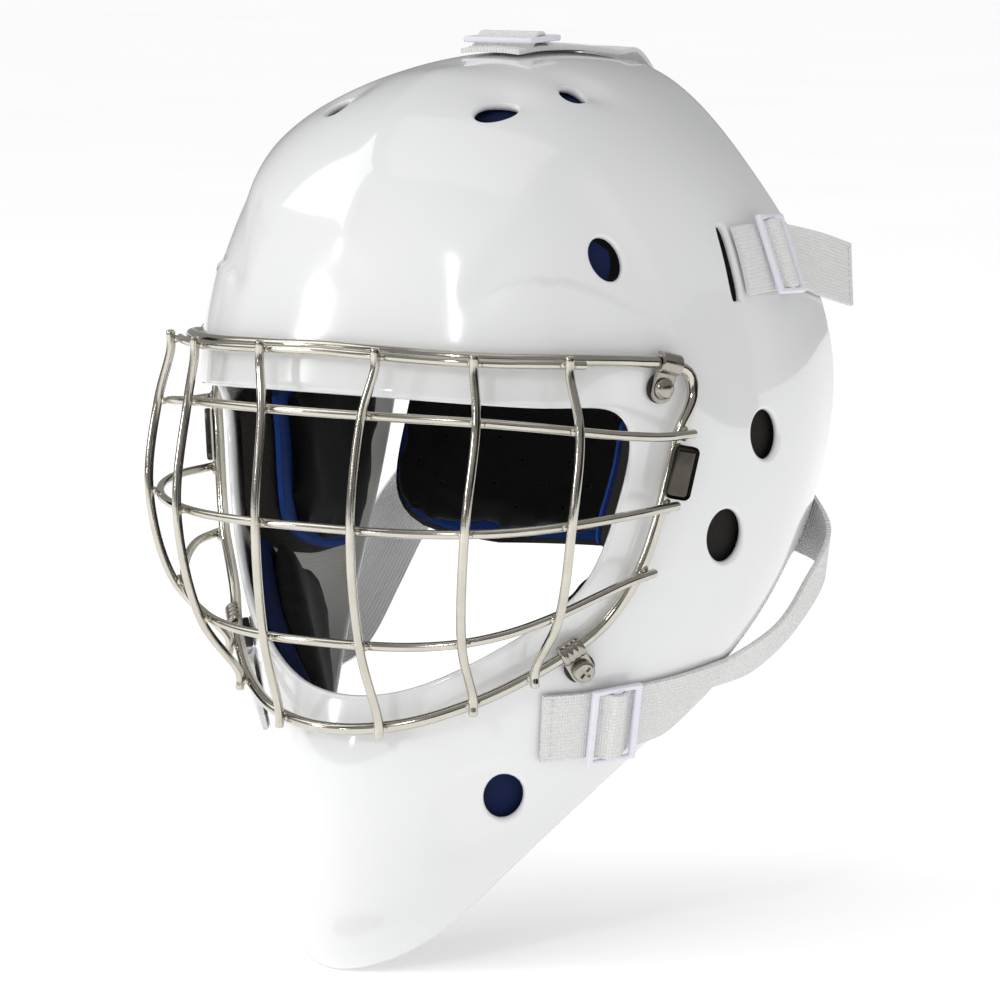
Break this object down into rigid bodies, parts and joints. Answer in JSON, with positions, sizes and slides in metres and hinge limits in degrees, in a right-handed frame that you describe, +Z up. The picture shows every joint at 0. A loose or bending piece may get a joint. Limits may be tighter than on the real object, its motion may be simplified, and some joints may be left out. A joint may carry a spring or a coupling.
{
  "type": "ice hockey goalie mask",
  "caption": "Goalie mask: moulded shell with vents, welded wire cage, foam liner, sprung-on backplate and elastic harness with adjusting slides.",
  "frame": {"origin": "middle of the head cavity, at about eye level, where the wearer's head is", "axes": "+Z up, the face looks along -Y, +X is the wearer's left"},
  "size_m": [0.2156, 0.2462, 0.3256],
  "materials": {
    "gelcoat_shell": "gloss white gelcoat over a fibreglass and aramid laminate",
    "chromed_wire": "polished nickel-chrome plated steel wire",
    "steel_hardware": "nickel-plated steel",
    "washer_rubber": "matte black rubber",
    "charcoal_foam": "closed-cell foam, matte charcoal",
    "blue_foam": "closed-cell foam, matte blue",
    "black_lining": "soft lining over comfort foam, matte black",
    "black_plastic": "gloss black moulded polyethylene",
    "knit_elastic": "white knitted elastic webbing",
    "acetal_slide": "satin white moulded acetal"
  },
  "bodies": {
    "root": {"frame_wire": "chromed_wire", "cross_bar_h1": "chromed_wire", "cross_bar_h2": "chromed_wire", "cross_bar_h3": "chromed_wire", "brow_wire": "chromed_wire", "upright_bar_inner_left": "chromed_wire", "upright_bar_inner_right": "chromed_wire", "upright_bar_middle_left": "chromed_wire", "upright_bar_middle_right": "chromed_wire", "upright_bar_outer_left": "chromed_wire", "upright_bar_outer_right": "chromed_wire", "side_plate_left": "steel_hardware", "side_plate_right": "steel_hardware", "cage_clip_upper_left": "steel_hardware", "clip_screw_upper_left": "steel_hardware", "clip_washer_upper_left": "washer_rubber", "clip_nut_upper_left": "steel_hardware", "cage_clip_upper_right": "steel_hardware", "clip_screw_upper_right": "steel_hardware", "clip_washer_upper_right": "washer_rubber", "clip_nut_upper_right": "steel_hardware", "cage_clip_lower_left": "steel_hardware", "clip_screw_lower_left": "steel_hardware", "clip_washer_lower_left": "washer_rubber", "clip_nut_lower_left": "steel_hardware", "cage_clip_lower_right": "steel_hardware", "clip_screw_lower_right": "steel_hardware", "clip_washer_lower_right": "washer_rubber", "clip_nut_lower_right": "steel_hardware", "lower_strap_left": "knit_elastic", "lower_strap_right": "knit_elastic", "upper_strap_tail_left": "knit_elastic", "upper_strap_left": "knit_elastic", "upper_strap_tail_right": "knit_elastic", "upper_strap_right": "knit_elastic", "top_strap": "knit_elastic", "shell": "gelcoat_shell", "brow_foam": "blue_foam", "brow_pad": "black_lining", "crown_foam": "blue_foam", "side_foam_left": "charcoal_foam", "side_foam_right": "charcoal_foam", "side_blue_layer_left": "blue_foam", "side_blue_layer_right": "blue_foam", "side_pad_left": "black_lining", "side_pad_right": "black_lining", "jaw_foam_left": "blue_foam", "jaw_foam_right": "blue_foam", "jaw_pad_left": "black_lining", "jaw_pad_right": "black_lining"},
    "backplate": {"backplate": "black_plastic", "backplate_foam": "blue_foam", "backplate_pad": "black_lining"},
    "top_slide": {"top_slide": "acetal_slide"},
    "upper_slide_left": {"upper_slide_left": "acetal_slide"},
    "upper_slide_right": {"upper_slide_right": "acetal_slide"},
    "lower_slide_left": {"lower_slide_left": "acetal_slide"},
    "lower_slide_right": {"lower_slide_right": "acetal_slide"}
  },
  "joints": [
    {"name": "backplate_swing", "type": "hinge", "parent": "root", "child": "backplate", "pos_m": [0, 0.08, 0.128], "axis": [1, 0, 0], "range_deg": [0, 15], "stiffness_Nm_per_rad": 1.2, "springref_deg": -6.88, "deforming": ["lower_strap_left", "lower_strap_right", "upper_strap_left", "upper_strap_right", "top_strap"]},
    {"name": "top_adjust", "type": "slide", "parent": "root", "child": "top_slide", "axis": [0, -0.9996, -0.0278], "range_m": [-0.006, 0.006]},
    {"name": "upper_adjust_left", "type": "slide", "parent": "root", "child": "upper_slide_left", "axis": [-0.0764, 0.9957, -0.0517], "range_m": [-0.006, 0.006]},
    {"name": "upper_adjust_right", "type": "slide", "parent": "root", "child": "upper_slide_right", "axis": [0.0764, 0.9957, -0.0517], "range_m": [-0.006, 0.006]},
    {"name": "lower_adjust_left", "type": "slide", "parent": "root", "child": "lower_slide_left", "axis": [-0.4483, -0.8909, -0.0729], "range_m": [-0.006, 0.006]},
    {"name": "lower_adjust_right", "type": "slide", "parent": "root", "child": "lower_slide_right", "axis": [0.4483, -0.8909, -0.0729], "range_m": [-0.006, 0.006]}
  ]
}
